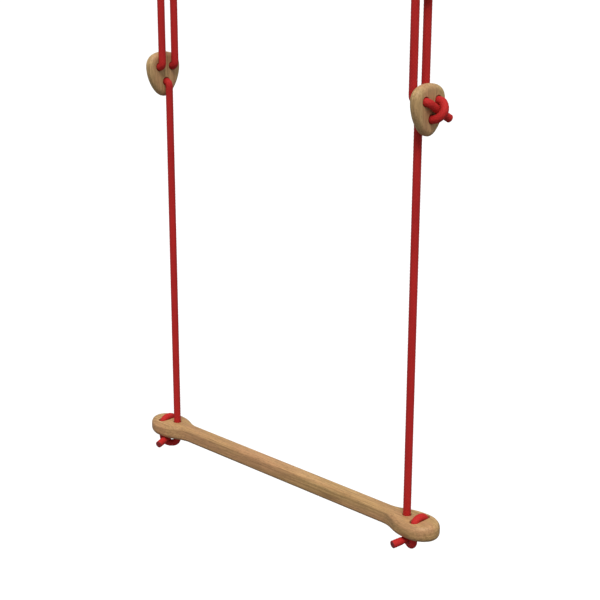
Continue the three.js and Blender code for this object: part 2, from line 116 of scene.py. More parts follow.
# The link's round inside rests on both rims of the tab's hole
LINK_SEAT_HEIGHT = math.sqrt((LINK_BEND_RADIUS - LINK_WIRE_RADIUS) ** 2 - (TAB_THICKNESS / 2) ** 2)
LINK_TOP_CENTRE = -AXLE_DROP - TAB_HOLE_DROP - TAB_HOLE_RADIUS - LINK_SEAT_HEIGHT + GAP
LINK_BOTTOM_CENTRE = LINK_TOP_CENTRE - LINK_STRAIGHT
LINK_MIDDLE = (LINK_TOP_CENTRE + LINK_BOTTOM_CENTRE) / 2
TURN_CENTRE = LINK_BOTTOM_CENTRE - LINK_BEND_RADIUS + LINK_WIRE_RADIUS + GAP + ROPE_RADIUS - HOLE_PAIR_Y
TURN_END = TURN_CENTRE - 2 * ROPE_RADIUS

# Where the rope changes from one moving part to the next, from the top down
LOOP_FOOT = ADJUSTER_HOLES - HOLE_PAIR_OFFSET - 12.3
PIVOT = BAR_TOP + 7
BEND_TOP = PIVOT + 20
ENTRY_FOOT = BAR_TOP - 12

# -------------------- camera
CAMERA_PLACE = (1.2912, -1.28702, -0.0353)
CAMERA_AZIMUTH = 44.32
CAMERA_DOWN = 16.64
CAMERA_ROLL = 0.2125
CAMERA_LENS = 79.71


def make_camera():
    data = bpy.data.cameras.new("camera")
    data.lens = CAMERA_LENS
    data.sensor_width = 36
    data.clip_start = 0.05
    data.clip_end = 200
    camera = bpy.data.objects.new("camera", data)
    scene.collection.objects.link(camera)
    turn = (
        Matrix.Rotation(math.radians(CAMERA_AZIMUTH), 4, "Z")
        @ Matrix.Rotation(math.radians(90 - CAMERA_DOWN), 4, "X")
        @ Matrix.Rotation(math.radians(CAMERA_ROLL), 4, "Z")
    )
    camera.matrix_world = Matrix.Translation(CAMERA_PLACE) @ turn
    scene.camera = camera


# -------------------- rope routes
# Outwards from the swing's centre: x outwards, y, z. At the adjuster, x = 0 is the rope's line
# and z = 0 is the line of the two upper holes.
ADJUSTER_LOOP_ROUTE = [
    (0, 12.1, 12),
    (0, 12.1, 6),
    (0.8, 12.1, 3),
    (3, 12.1, 0.8),
    (6, 12.1, 0),
    (13.5, 12.1, 0),
    (21.5, 12.1, 0),
    (23.1, 12.1, 0),
    (28.2, 11.6, -1.3),
    (32.6, 9.7, -5),
    (35.6, 6.4, -10.9),
    (33.8, 3, -16.9),
    (29.3, 0.8, -21),
    (23.1, 0, -22.5),
    (21.5, 0, -22.5),
    (13.5, 0, -22.5),
    (6, 0, -22.5),
    (3, 0, -23.3),
    (0.8, 0, -25.5),
    (0, 0, -28.5),
    (0, 0, -34.5),
]
# Down the front strand, through the front hole, and under the standing loop to the cut end
ADJUSTER_TAIL_ROUTE = [
    (0, -12.1, 12),
    (0, -12.1, 6),
    (0.8, -12.1, 3),
    (3, -12.1, 0.8),
    (6, -12.1, 0),
    (13.5, -12.1, 0),
    (19.5, -12.1, 0),
    (22.8, -11.2, -0.6),
    (25.2, -8.6, -2.2),
    (26, -4.5, -4.8),
    (25.9, 6.05, -11.25),
    (26, 13, -15.4),
    (26.8, 20, -19.6),
    (28, 27, -23.8),
]
# At the bar, x = 0 is the rope's line and z = 0 is the bar's top. Down through the inner hole,
# under the bar and up the front hole
BAR_LACING_ROUTE = [
    (0, 0, 1.2),
    (0, 0, -6),
    (0, 0, -15),
    (0, 0, -24),
    (0, 0, -27),
    (1.3, -0.7, -32.6),
    (4.5, -2.4, -36.4),
    (9.5, -5.1, -37.9),
    (15, -8.1, -37.7),
    (19.6, -10.6, -35),
    (22, -11.9, -31),
    (22.5, -12.1, -27),
    (22.5, -12.1, -24),
]
# Across the top in a groove, from the front hole to the back one
BAR_CROSSING_ROUTE = [
    (22.5, -12.1, -15),
    (22.5, -12.1, -9),
    (22.5, -11.2, -4.4),
    (22.5, -8.4, -0.6),
    (22.5, -4.4, 1.3),
    (22.5, 0, 1.8),
    (22.5, 4.4, 1.3),
    (22.5, 8.4, -0.6),
    (22.5, 11.2, -4.4),
    (22.5, 12.1, -9),
]
# On down the back hole, and between the bar and the first turn to the cut end
BAR_TAIL_ROUTE = [
    (22.5, 12.1, -13.3),
    (22.5, 12.1, -18),
    (22.4, 11.9, -22.5),
    (21.5, 9.9, -26.6),
    (19.6, 6, -28.3),
    (17, 0.8, -28.3),
    (13.2, -7, -28.2),
    (10.4, -17.5, -28.8),
    (7.9, -27, -30.2),
    (5.5, -35.5, -31.3),
]

# The sheath: as many strands wind one way as the other, each passing over one and under one.
# A pitch is the length of rope in which a strand moves by its own width round it.
STRANDS = 8
BRAID_PITCH = 4.6
BRAID_DEPTH = 0.42
SIDES_PER_STRAND = 6
ROPE_STEP = 0.8
# A sealed end's rings: how far each is in from the sheath, and out from the cut
END_RINGS = ((0.35, 0.25), (0.7, 0.5), (1.35, 0.62), (2.85, 0.72), (4.25, 0.66))
END_LEVEL_STEP = 0.08
# Lengths from a cut end at which its tail starts to flatten, is flat, starts to round again and is round
PRESSED_AT_ADJUSTER = (9, 16, 38, 50)
PRESSED_AT_BAR = (12, 22, 42, 50)


def rope_route(side):
    """The whole rope's line in millimetres, from its cut end at the adjuster to the one at the bar."""
    def placed(route, height):
        return [(side * (ROPE_X + x), y, height + z) for x, y, z in route]

    x = side * ROPE_X
    turn = []
    for i in range(13):
        angle = math.pi * (1 - i / 12)
        turn.append((x, HOLE_PAIR_Y * math.cos(angle), TURN_CENTRE + HOLE_PAIR_Y * math.sin(angle)))
    front = [(x, -HOLE_PAIR_Y, z) for z in (TURN_END - 40, TURN_END - 5, TURN_CENTRE - 3)]
    back = [(x, HOLE_PAIR_Y, z) for z in (TURN_CENTRE - 3, TURN_END - 5, TURN_END - 40)]
    long_strand = [(x, 0, z) for z in (LOOP_FOOT - 40, PIVOT + 60, PIVOT + 10)]
    return (
        placed(ADJUSTER_TAIL_ROUTE, ADJUSTER_HOLES)[::-1]
        + front
        + turn
        + back
        + placed(ADJUSTER_LOOP_ROUTE, ADJUSTER_HOLES)
        + long_strand
        + placed(BAR_LACING_ROUTE, BAR_TOP)
        + placed(BAR_CROSSING_ROUTE, BAR_TOP)
        + placed(BAR_TAIL_ROUTE, BAR_TOP)
    )


def dense_curve(points, per_span=24):
    """Closely spaced points on the centripetal Catmull-Rom curve through the given ones."""
    knots = np.array(points, float)
    knots = np.vstack([2 * knots[0] - knots[1], knots, 2 * knots[-1] - knots[-2]])
    share = np.linspace(0, 1, per_span, endpoint=False)[:, None]
    curve = []
    for p0, p1, p2, p3 in zip(knots, knots[1:], knots[2:], knots[3:]):
        before, here, after = (math.sqrt(np.linalg.norm(b - a)) for a, b in ((p0, p1), (p1, p2), (p2, p3)))
        leave = here * ((p1 - p0) / before - (p2 - p0) / (before + here) + (p2 - p1) / here)
        reach = here * ((p2 - p1) / here - (p3 - p1) / (here + after) + (p3 - p2) / after)
        bend = 2 * p1 - 2 * p2 + leave + reach
        ease = 3 * p2 - 3 * p1 - 2 * leave - reach
        curve.append(p1 + share * (leave + share * (ease + share * bend)))
    curve.append(knots[-2][None])
    return np.vstack(curve)


def lengths_along(curve):
    return np.concatenate([[0], np.cumsum(np.linalg.norm(np.diff(curve, axis=0), axis=1))])


def at_lengths(curve, lengths):
    along = lengths_along(curve)
    return np.stack([np.interp(lengths, along, curve[:, k]) for k in range(3)], axis=1)


def carried_frames(path):
    """A normal and binormal at each point, carried along the path without twist."""
    tangents = np.gradient(path, axis=0)
    tangents /= np.linalg.norm(tangents, axis=1)[:, None]
    normal = np.cross(tangents[0], (1, 0, 0) if abs(tangents[0][0]) < 0.9 else (0, 1, 0))
    normals = []
    for tangent in tangents:
        normal = normal - tangent * (normal @ tangent)
        normal = normal / np.linalg.norm(normal)
        normals.append(normal)
    normals = np.array(normals)
    return tangents, normals, np.cross(tangents, normals)


def braid_height(around, along):
    """How far the sheath stands up, from 0 to 1, at an angle in strands and a length in pitches."""
    first = around + along
    second = around - along
    first_on_top = (np.floor(first) + np.floor(second)) % 2 == 0
    across_first = 2 * (first % 1) - 1
    across_second = 2 * (second % 1) - 1
    across = np.where(first_on_top, across_first, across_second)
    lengthwise = np.where(first_on_top, across_second, across_first)
    return (1 - 0.85 * across**4) * (0.6 + 0.4 * np.cos(lengthwise * math.pi / 2))


class Rope:
    """One continuous rope, from which pieces are cut."""

    def __init__(self, side):
        curve = dense_curve(rope_route(side))
        along = lengths_along(curve)
        on_line = (np.abs(curve[:, 0] - side * ROPE_X) < 0.02) & (np.abs(curve[:, 1]) < 0.02)
        heights = curve[on_line, 2]
        self.cuts = [0.0]
        for height in (LOOP_FOOT, BEND_TOP, PIVOT, ENTRY_FOOT):
            self.cuts.append(float(np.interp(-height, -heights, along[on_line])))
        self.cuts.append(float(along[-1]))
        stations = [np.zeros(1)]
        self.rings = [0]
        for start, end in zip(self.cuts, self.cuts[1:]):
            count = round((end - start) / ROPE_STEP)
            stations.append(np.linspace(start, end, count + 1)[1:])
            self.rings.append(self.rings[-1] + count)
        self.stations = np.concatenate(stations)
        self.path = at_lengths(curve, self.stations)
        self.frames = carried_frames(self.path)
        pressed = PRESSED_RADIUS / ROPE_RADIUS
        # Both tails are pressed flat under the turn over them: against the adjuster, and against the bar
        flattening = (1, pressed, pressed, 1)
        self.outward_press = np.interp(self.stations, PRESSED_AT_ADJUSTER, flattening)
        self.upward_press = np.interp(self.cuts[-1] - self.stations, PRESSED_AT_BAR, flattening)

    def line(self, number, every=6):
        first, last = self.rings[number], self.rings[number + 1]
        picked = list(range(first, last, every)) + [last]
        return [tuple(p * MM) for p in self.path[picked]]

    def piece(self, name, number, materials):
        first, last = self.rings[number], self.rings[number + 1]
        cut_at_start = first == 0
        cut_at_end = last == len(self.path) - 1
        picked = slice(first, last + 1)
        count = STRANDS * SIDES_PER_STRAND
        around = np.arange(count) / SIDES_PER_STRAND
        along = self.stations[picked] / BRAID_PITCH
        tangents, normals, binormals = (f[picked] for f in self.frames)
        height = braid_height(around[None, :], along[:, None])
        reach = ROPE_RADIUS - BRAID_DEPTH * (1 - height)
        angle = 2 * math.pi * np.arange(count) / count
        spokes = (
            np.cos(angle)[None, :, None] * normals[:, None, :]
            + np.sin(angle)[None, :, None] * binormals[:, None, :]
        )
        press = np.stack([self.outward_press, np.ones_like(self.stations), self.upward_press], axis=1)
        rings = list(self.path[picked][:, None] + reach[:, :, None] * spokes * press[picked][:, None])
        levels = list(along)
        sealed_start = sealed_end = 0
        if cut_at_start:
            rings, levels, sealed_start = self.seal(rings, levels, 0, -tangents[0], spokes[0])
        if cut_at_end:
            rings, levels, sealed_end = self.seal(rings, levels, -1, tangents[-1], spokes[-1])
        return self.build(name, rings, levels, count, (sealed_start, sealed_end), materials)

    def seal(self, rings, levels, end, outwards, spokes):
        """Adds the rings of a heat-sealed cut end: a small bevel and a slightly domed face."""
        for inset, forward in END_RINGS:
            ring = self.path[end] + outwards * forward + (ROPE_RADIUS - inset) * spokes
            if end == 0:
                rings = [ring] + rings
                levels = [levels[0] - END_LEVEL_STEP] + levels
            else:
                rings = rings + [ring]
                levels = levels + [levels[-1] + END_LEVEL_STEP]
        return rings, levels, len(END_RINGS)

    @staticmethod
    def build(name, rings, levels, count, sealed, materials):
        rows = len(rings)
        column = np.arange(count)
        following = (column + 1) % count
        row_starts = np.arange(rows)[:, None] * count
        a, b = row_starts[:-1], row_starts[1:]
        quads = np.stack([a + column, a + following, b + following, b + column], axis=2).reshape(-1, 4)
        caps = (column[::-1], (rows - 1) * count + column)
        mesh = bpy.data.meshes.new(name)
        vertices = np.vstack(rings) * MM
        mesh.from_pydata(vertices.tolist(), [], quads.tolist() + [cap.tolist() for cap in caps])
        # The braid's own coordinates: strands round the rope, and pitches along it
        level = np.array(levels)
        u = np.stack([column, column + 1, column + 1, column], axis=1) / SIDES_PER_STRAND
        v = np.stack([level[:-1], level[:-1], level[1:], level[1:]], axis=1)[:, None]
        coords = [np.stack(np.broadcast_arrays(u[None], v), axis=-1).reshape(-1, 2)]
        for cap, end_level in zip(caps, (level[0], level[-1])):
            coords.append(np.stack([cap % count / SIDES_PER_STRAND, np.full(count, end_level)], axis=1))
        layer = mesh.uv_layers.new(name="braid")
        layer.data.foreach_set("uv", np.vstack(coords).astype(np.float32).ravel())
        for material in materials:
            mesh.materials.append(material)
        start_rows, end_rows = sealed
        row = np.append(np.repeat(np.arange(rows - 1), count), (0, rows - 2))
        on_seal = (row < start_rows) | (row >= rows - 1 - end_rows)
        mesh.polygons.foreach_set("material_index", on_seal.astype(np.int32))
        mesh.update()
        mesh.shade_smooth()
        obj = bpy.data.objects.new(name, mesh)
        scene.collection.objects.link(obj)
        return obj


# -------------------- shape tools
# These shapes are made in millimetres along local Z and then placed in the frame.
ALONG_X = Matrix(((0, 0, 1, 0), (1, 0, 0, 0), (0, 1, 0, 0), (0, 0, 0, 1)))
SAME_PLACE = 1e-5
SHARP_ANGLE = 38
DRILL_RIM_ANGLE = 12
DRILL_RIM_STEPS = 5
DRILL_PAST_FACE = 3


def new_object(name, vertices, faces):
    mesh = bpy.data.meshes.new(name)
    mesh.from_pydata([tuple(v) for v in vertices], [], faces)
    mesh.update()
    obj = bpy.data.objects.new(name, mesh)
    scene.collection.objects.link(obj)
    return obj


def bezier(start, leave, reach, end, steps):
    points = []
    for i in range(steps):
        t = i / steps
        points.append(
            Vector(start) * (1 - t) ** 3
            + Vector(leave) * 3 * t * (1 - t) ** 2
            + Vector(reach) * 3 * t * t * (1 - t)
            + Vector(end) * t**3
        )
    return points


def arc(centre, radius, start, end, steps):
    """Points on a circle from one angle to another in degrees, the last one left out."""
    points = []
    for i in range(steps):
        angle = math.radians(start + (end - start) * i / steps)
        points.append(Vector(centre) + radius * Vector((math.cos(angle), math.sin(angle))))
    return points


def straight(start, end, steps):
    return [Vector(start).lerp(Vector(end), i / steps) for i in range(steps)]


def stacked_rings(name, rings):
    """A closed shape through rings that all have the same number of points."""
    count = len(rings[0])
    faces = [list(range(count))[::-1]]
    for row in range(len(rings) - 1):
        a, b = row * count, (row + 1) * count
        faces += [(a + i, a + (i + 1) % count, b + (i + 1) % count, b + i) for i in range(count)]
    faces.append([(len(rings) - 1) * count + i for i in range(count)])
    return new_object(name, [point for ring in rings for point in ring], faces)


def inset_outline(outline, insets):
    """The outline, which runs anticlockwise, with each point moved inwards by its own distance."""
    count = len(outline)
    moved = []
    for i, point in enumerate(outline):
        before = (point - outline[i - 1]).normalized()
        after = (outline[(i + 1) % count] - point).normalized()
        along = (before + after).normalized()
        inwards = Vector((-along.y, along.x))
        moved.append(point + inwards * insets[i] / max(0.5, along.dot(after)))
    return moved


def rounded_board(name, outline, thickness, rounding, steps=6):
    """A board from z = 0 to its thickness, with both faces' edges rounded over.

    The rounding is a number, or gives at each point how far it reaches in from the outline and
    down from the face."""
    varying = callable(rounding)
    places = [rounding(point) if varying else (rounding, rounding) for point in outline]
    reaches, drops = (np.array(values) for values in zip(*places))
    # A narrow border inside the rounding keeps the middle of each face flat in the light
    border = min(0.8, min(reaches))
    rim = [(reaches + border, 0 * drops)]
    for i in range(steps + 1):
        angle = math.pi / 2 * i / steps
        rim.append((reaches * (1 - math.sin(angle)), drops * (1 - math.cos(angle))))
    middle = [(0 * reaches, 0 * drops + thickness / 2)] if varying else []
    levels = rim + middle + [(insets, thickness - heights) for insets, heights in reversed(rim)]
    rings = []
    for insets, heights in levels:
        rings.append([(p.x, p.y, z) for p, z in zip(inset_outline(outline, insets), heights)])
    return stacked_rings(name, rings)


def lathe(name, profile, segments=48, ring=False):
    """Turns a profile of (radius, z) points round Z.

    A ring's profile is closed. Any other starts and ends on the axis."""
    vertices, faces = [], []
    count = len(profile)
    for i in range(segments):
        angle = 2 * math.pi * i / segments
        vertices += [(r * math.cos(angle), r * math.sin(angle), z) for r, z in profile]
    for i in range(segments):
        a, b = i * count, (i + 1) % segments * count
        for k in range(count if ring else count - 1):
            n = (k + 1) % count
            faces.append((a + k, b + k, b + n, a + n))
    obj = new_object(name, vertices, faces)
    tidy_mesh(obj)
    return obj


def tidy_mesh(obj):
    """Merges doubled points, drops faces with no area and turns all faces outwards."""
    work = bmesh.new()
    work.from_mesh(obj.data)
    bmesh.ops.remove_doubles(work, verts=work.verts, dist=SAME_PLACE)
    bmesh.ops.dissolve_degenerate(work, edges=work.edges, dist=SAME_PLACE)
    bmesh.ops.recalc_face_normals(work, faces=work.faces)
    work.to_mesh(obj.data)
    work.free()
    obj.data.update()


def combine(obj, other, operation):
    """Leaves in obj the result of the operation on both solids, and removes the other."""
    modifier = obj.modifiers.new("combine", "BOOLEAN")
    modifier.operation = operation
    modifier.solver = "EXACT"
    modifier.object = other
    depsgraph = bpy.context.evaluated_depsgraph_get()
    mesh = bpy.data.meshes.new_from_object(obj.evaluated_get(depsgraph))
    obj.modifiers.clear()
    obj.data = mesh
    bpy.data.objects.remove(other)
    tidy_mesh(obj)


def cut(obj, tool):
    combine(obj, tool, "DIFFERENCE")


def unite(obj, other):
    combine(obj, other, "UNION")


def place(obj, name, matrix, material, flipped=False):
    """Moves a finished shape into the frame, in metres, and gives it its name and material."""
    obj.name = name
    obj.data.name = name
    obj.data.transform(Matrix.Diagonal((MM, MM, MM, 1)) @ matrix)
    if flipped:
        obj.data.flip_normals()
    obj.data.materials.clear()
    obj.data.materials.append(material)
    obj.data.shade_smooth()
    obj.data.set_sharp_from_angle(angle=math.radians(SHARP_ANGLE))
    weighted = obj.modifiers.new("weighted normals", "WEIGHTED_NORMAL")
    weighted.keep_sharp = True


def eased_rim(radius, face, ease, direction):
    """Profile points of a drill's flare at a face: from outside the board in to the hole's wall."""
    lead = math.radians(DRILL_RIM_ANGLE)
    points = [(
        radius + ease * (1 - math.sin(lead)) + DRILL_PAST_FACE,
        face - direction * (DRILL_PAST_FACE * math.tan(lead) - ease * (1 - math.cos(lead))),
    )]
    for i in range(DRILL_RIM_STEPS + 1):
        angle = lead + (math.pi / 2 - lead) * i / DRILL_RIM_STEPS
        points.append((
            radius + ease * (1 - math.sin(angle)),
            face + direction * ease * (1 - math.cos(angle)),
        ))
    return points


def drill(x, y, radius, thickness, low_ease, high_ease):
    """A round cutter through a board on z = 0, flared at the low rim, and at the high one if eased."""
    low, high = -4, thickness + 4
    rim = eased_rim(radius, 0, low_ease, 1)
    profile = [(0, low), (rim[0][0], low)] + rim
    if high_ease:
        rim = eased_rim(radius, thickness, high_ease, -1)
        profile += rim[::-1] + [(rim[0][0], high)]
    else:
        profile.append((radius, high))
    profile.append((0, high))
    cutter = lathe("drill", profile)
    cutter.data.transform(Matrix.Translation((x, y, 0)))
    return cutter


def round_tube(name, path, radii, sides=32):
    """A closed round tube in the units of its path."""
    path = np.array(path, float)
    radii = np.broadcast_to(np.array(radii, float), len(path))
    _, normals, binormals = carried_frames(path)
    rings = []
    for centre, radius, normal, binormal in zip(path, radii, normals, binormals):
        ring = []
        for k in range(sides):
            angle = 2 * math.pi * k / sides
            ring.append(centre + radius * (math.cos(angle) * normal + math.sin(angle) * binormal))
        rings.append(ring)
    tube = stacked_rings(name, rings)
    tidy_mesh(tube)
    return tube


# -------------------- wood
HOLE_EASE = 1.1
GROOVE_RADIUS = 6.75
GROOVE_RIM = 0.9


def bar_outline():
    """Once round the bar: along each side between the necks, and round the bulb at its end."""
    neck = ROPE_X - NECK_BEFORE_ROPE
    widest = ROPE_X + WIDEST_AFTER_ROPE
    tip = ROPE_X + TIP_AFTER_ROPE
    shoulder = (
        (neck, BAR_HALF_WIDTH), (neck + NECK_EASE, BAR_HALF_WIDTH),
        (widest - SHOULDER_EASE, BULB_HALF_WIDTH), (widest, BULB_HALF_WIDTH),
    )
    nose = ((widest, BULB_HALF_WIDTH), (widest + TIP_EASE, BULB_HALF_WIDTH), (tip, TIP_FLATNESS), (tip, 0))
    outline = []
    for end in (1, -1):
        outline += straight((-end * neck, -end * BAR_HALF_WIDTH), (end * neck, -end * BAR_HALF_WIDTH), 50)
        for curve, steps in ((shoulder, 34), (nose, 26)):
            outline += bezier(*[(end * x, -end * y) for x, y in curve], steps)
        for curve, steps in ((nose, 26), (shoulder, 34)):
            outline += bezier(*[(end * x, end * y) for x, y in curve[::-1]], steps)
    return outline


def bar_rounding(point):
    """The rounding of the bar's edges, which grows from the neck to the bulb's widest place."""
    share = (abs(point.x) - (ROPE_X - NECK_BEFORE_ROPE)) / (NECK_BEFORE_ROPE + WIDEST_AFTER_ROPE)
    share = min(1, max(0, share))
    share = share * share * (3 - 2 * share)
    rounding = BAR_ROUNDING + (BULB_ROUNDING - BAR_ROUNDING) * share
    return rounding, rounding


def adjuster_rounding(_point):
    """The same all round the adjuster, and a little wider than it is deep."""
    return ADJUSTER_ROUNDING_REACH, ADJUSTER_ROUNDING


def slot_flare(x, top):
    """A cutter that eases the rim of the slot between a bulb's two outer holes."""
    rings = []
    for grow, z in eased_rim(0, 0, GROOVE_RIM, -1)[::-1]:
        radius = HOLE_RADIUS + 0.02 + grow
        outline = arc((x, HOLE_PAIR_Y), radius, 0, 180, 24) + arc((x, -HOLE_PAIR_Y), radius, 180, 360, 24)
        rings.append([(p.x, p.y, top + z) for p in outline])
    flare = stacked_rings("slot flare", rings)
    tidy_mesh(flare)
    return flare


def make_bar(material):
    bar = rounded_board("bar", bar_outline(), BAR_THICKNESS, bar_rounding, 9)
    for _, side in SIDES:
        outer = side * (ROPE_X + HOLE_PAIR_OFFSET)
        holes = ((side * ROPE_X, 0, HOLE_EASE), (outer, -HOLE_PAIR_Y, 0), (outer, HOLE_PAIR_Y, 0))
        for x, y, top_ease in holes:
            cut(bar, drill(x, y, HOLE_RADIUS, BAR_THICKNESS, HOLE_EASE, top_ease))
        across = [(side * (ROPE_X + x), y, BAR_THICKNESS + z) for x, y, z in BAR_CROSSING_ROUTE]
        curve = dense_curve(across, 4)
        rise = np.clip((curve[:, 2] - BAR_THICKNESS + 8) / 7, 0, 1)
        radii = HOLE_RADIUS - 0.25 + (GROOVE_RADIUS - HOLE_RADIUS + 0.25) * rise
        cut(bar, round_tube("groove", curve, radii))
        cut(bar, slot_flare(outer, BAR_THICKNESS))
    place(bar, "wooden_bar", Matrix.Translation((0, 0, BAR_TOP - BAR_THICKNESS)), material)
    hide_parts("bar")
    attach(bar, "bar")


def adjuster_outline():
    half, top, bottom = ADJUSTER_HALF_WIDTH, ADJUSTER_TOP, ADJUSTER_BOTTOM
    low, side, high = ADJUSTER_BOTTOM_EASE, ADJUSTER_SIDE_EASE, ADJUSTER_SHOULDER_EASE
    return (
        bezier((0, -bottom), (low, -bottom), (half, -side), (half, 0), 34)
        + bezier((half, 0), (half, high), (high, top), (0, top), 26)
        + bezier((0, top), (-high, top), (-half, high), (-half, 0), 26)
        + bezier((-half, 0), (-half, -side), (-low, -bottom), (0, -bottom), 34)
    )


def make_adjuster(prefix, side, material):
    board = rounded_board("adjuster", adjuster_outline(), ADJUSTER_THICKNESS, adjuster_rounding, 9)
    for y, z in ((-HOLE_PAIR_Y, 0), (HOLE_PAIR_Y, 0), (0, -HOLE_PAIR_OFFSET)):
        cut(board, drill(y, z, HOLE_RADIUS, ADJUSTER_THICKNESS, HOLE_EASE, HOLE_EASE))
    where = outward_place(side, ADJUSTER_HOLES) @ Matrix.Translation((ROPE_TO_ADJUSTER, 0, 0)) @ ALONG_X
    place(board, f"{prefix}_wooden_adjuster", where, material, side < 0)
    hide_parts(f"{prefix}_adjuster")
    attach(board, f"{prefix}_adjuster")


def outward_place(side, height):
    """From a place with +x outwards from the swing's centre, on the rope's line, to the frame."""
    return Matrix.Translation((side * ROPE_X, 0, height)) @ Matrix.Diagonal((side, 1, 1, 1))


# -------------------- steel and nylon
EDGE = 0.7
TAB_EDGE = 1.2
EYE_RIM = 0.4
TAB_HOLE_RIM = 1.6
SLEEVE_RIM = 0.6
BEAD_RADIUS = 1.35
BEAD_RIPPLE = 0.22
BEAD_CORNER = 2.2
BEAD_SIDES = 12
WASHER_BEVEL = 0.35
NUT_COLLAR_HEIGHT = 2.2
BUSH_EDGE = 0.3
LINK_GAP = 4


def hardware_place(obj, prefix, side, height, node, material, body, slot="steel", part=None):
    """Puts a metal or nylon shape in the frame, and says what it stands for and rides on."""
    place(obj, f"{prefix}_{slot}_{part or node}", outward_place(side, height), material, side < 0)
    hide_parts(f"{prefix}_{node}")
    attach(obj, body)


def chamfered_hexagon(name, height, chamfer_low=True):
    """A hexagonal prism, its corners turned down at the top, and at the bottom where asked."""
    corners = arc((0, 0), HEX_ACROSS_FLATS / 2 / math.cos(math.pi / 6), 0, 360, 6)
    outline = []
    for i in range(6):
        outline += straight(corners[i], corners[(i + 1) % 6], 4)
    prism = rounded_board(name, outline, height, 0.25, 2)
    flat = HEX_ACROSS_FLATS / 2 - 0.4
    wide = HEX_ACROSS_FLATS * 0.62
    drop = (wide - flat) * math.tan(math.radians(30))
    profile = [(0, 0), (flat, 0), (wide, drop)] if chamfer_low else [(0, -1), (wide, -1)]
    profile += [(wide, height - drop), (flat, height), (0, height)]
    combine(prism, lathe("chamfer", profile, 64), "INTERSECT")
    return prism


def thread(radius, start, end, pitch=1.5, depth=0.55):
    """Profile points of a thread's ridges along a rod."""
    points = []
    count = int((end - start) / pitch)
    for i in range(count):
        z = start + i * pitch
        points += [
            (radius - depth, z), (radius - depth, z + 0.12 * pitch),
            (radius, z + 0.44 * pitch), (radius, z + 0.62 * pitch),
        ]
    return points


def make_bracket(prefix, side, material):
    corners = ((1, 1, 0), (-1, 1, 90), (-1, -1, 180), (1, -1, 270))
    outline = []
    for sx, sy, angle in corners:
        centre = (sx * (PLATE_HALF_LENGTH - PLATE_CORNER), sy * (PLATE_HALF_WIDTH - PLATE_CORNER))
        outline += arc(centre, PLATE_CORNER, angle, angle + 90, 8)
        outline += arc(centre, PLATE_CORNER, angle + 90, angle + 90, 1)
    bracket = rounded_board("plate", outline, PLATE_THICKNESS, EDGE, 4)
    for sx, sy, _ in corners:
        hole = drill(sx * (PLATE_HALF_LENGTH - SCREW_INSET), sy * (PLATE_HALF_WIDTH - SCREW_INSET),
                     SCREW_HOLE_RADIUS, PLATE_THICKNESS, 0.5, 0.3)
        cut(bracket, hole)
    bracket.data.transform(Matrix.Translation((0, 0, -PLATE_THICKNESS)))
    foot = -PLATE_THICKNESS + 2
    for direction in (-1, 1):
        shape = (
            arc((0, -AXLE_DROP), EAR_RADIUS, 180, 360, 28)
            + straight((EAR_RADIUS, -AXLE_DROP), (EAR_RADIUS + EAR_FLARE, foot), 6)
            + straight((EAR_RADIUS + EAR_FLARE, foot), (-EAR_RADIUS - EAR_FLARE, foot), 8)
            + straight((-EAR_RADIUS - EAR_FLARE, foot), (-EAR_RADIUS, -AXLE_DROP), 6)
        )
        ear = rounded_board("ear", shape, EAR_THICKNESS, EDGE, 4)
        cut(ear, drill(0, -AXLE_DROP, AXLE_RADIUS + GAP, EAR_THICKNESS, EYE_RIM, EYE_RIM))
        start = EAR_INNER if direction > 0 else -EAR_INNER - EAR_THICKNESS
        ear.data.transform(Matrix.Translation((start, 0, 0)) @ ALONG_X)
        unite(bracket, ear)
        unite(bracket, weld_bead(start))
    hardware_place(
        bracket, prefix, side, 0, "ceiling_bracket", material, "ceiling_mounts", part="bracket")


def weld_bead(start):
    """The rippled bead of weld round an ear's foot, a closed ring against the plate."""
    # The bead's own line lies just inside the ear's sides
    half_width = EAR_THICKNESS / 2 - 0.2 - BEAD_CORNER
    half_length = EAR_RADIUS + EAR_FLARE - 0.4 - BEAD_CORNER
    corners = [Vector((start + EAR_THICKNESS / 2 + sx * half_width, sy * half_length))
               for sx, sy in ((1, 1), (-1, 1), (-1, -1), (1, -1))]
    line = []
    for i, centre in enumerate(corners):
        angle = math.radians(90 * i + 90)
        leaving = BEAD_CORNER * Vector((math.cos(angle), math.sin(angle)))
        line += arc(centre, BEAD_CORNER, 90 * i, 90 * i + 90, 5)
        line += straight(centre + leaving, corners[(i + 1) % 4] + leaving, 50 if i % 2 else 1)
    vertices, faces = [], []
    for i, point in enumerate(line):
        along = (line[(i + 1) % len(line)] - line[i - 1]).normalized()
        radius = BEAD_RADIUS + BEAD_RIPPLE * abs(math.sin(i * math.pi / 4))
        for k in range(BEAD_SIDES):
            angle = 2 * math.pi * k / BEAD_SIDES
            outwards, up = radius * math.cos(angle), radius * math.sin(angle)
            vertices.append((
                point.x + outwards * along.y, point.y - outwards * along.x, -PLATE_THICKNESS - 0.1 + up))
    for i in range(len(line)):
        a, b = i * BEAD_SIDES, (i + 1) % len(line) * BEAD_SIDES
        for k in range(BEAD_SIDES):
            n = (k + 1) % BEAD_SIDES
            faces.append((a + k, b + k, b + n, a + n))
    bead = new_object("weld bead", vertices, faces)
    tidy_mesh(bead)
    return bead


WASHER_START = EAR_INNER + EAR_THICKNESS + GAP
HEAD_START = WASHER_START + WASHER_THICKNESS + GAP


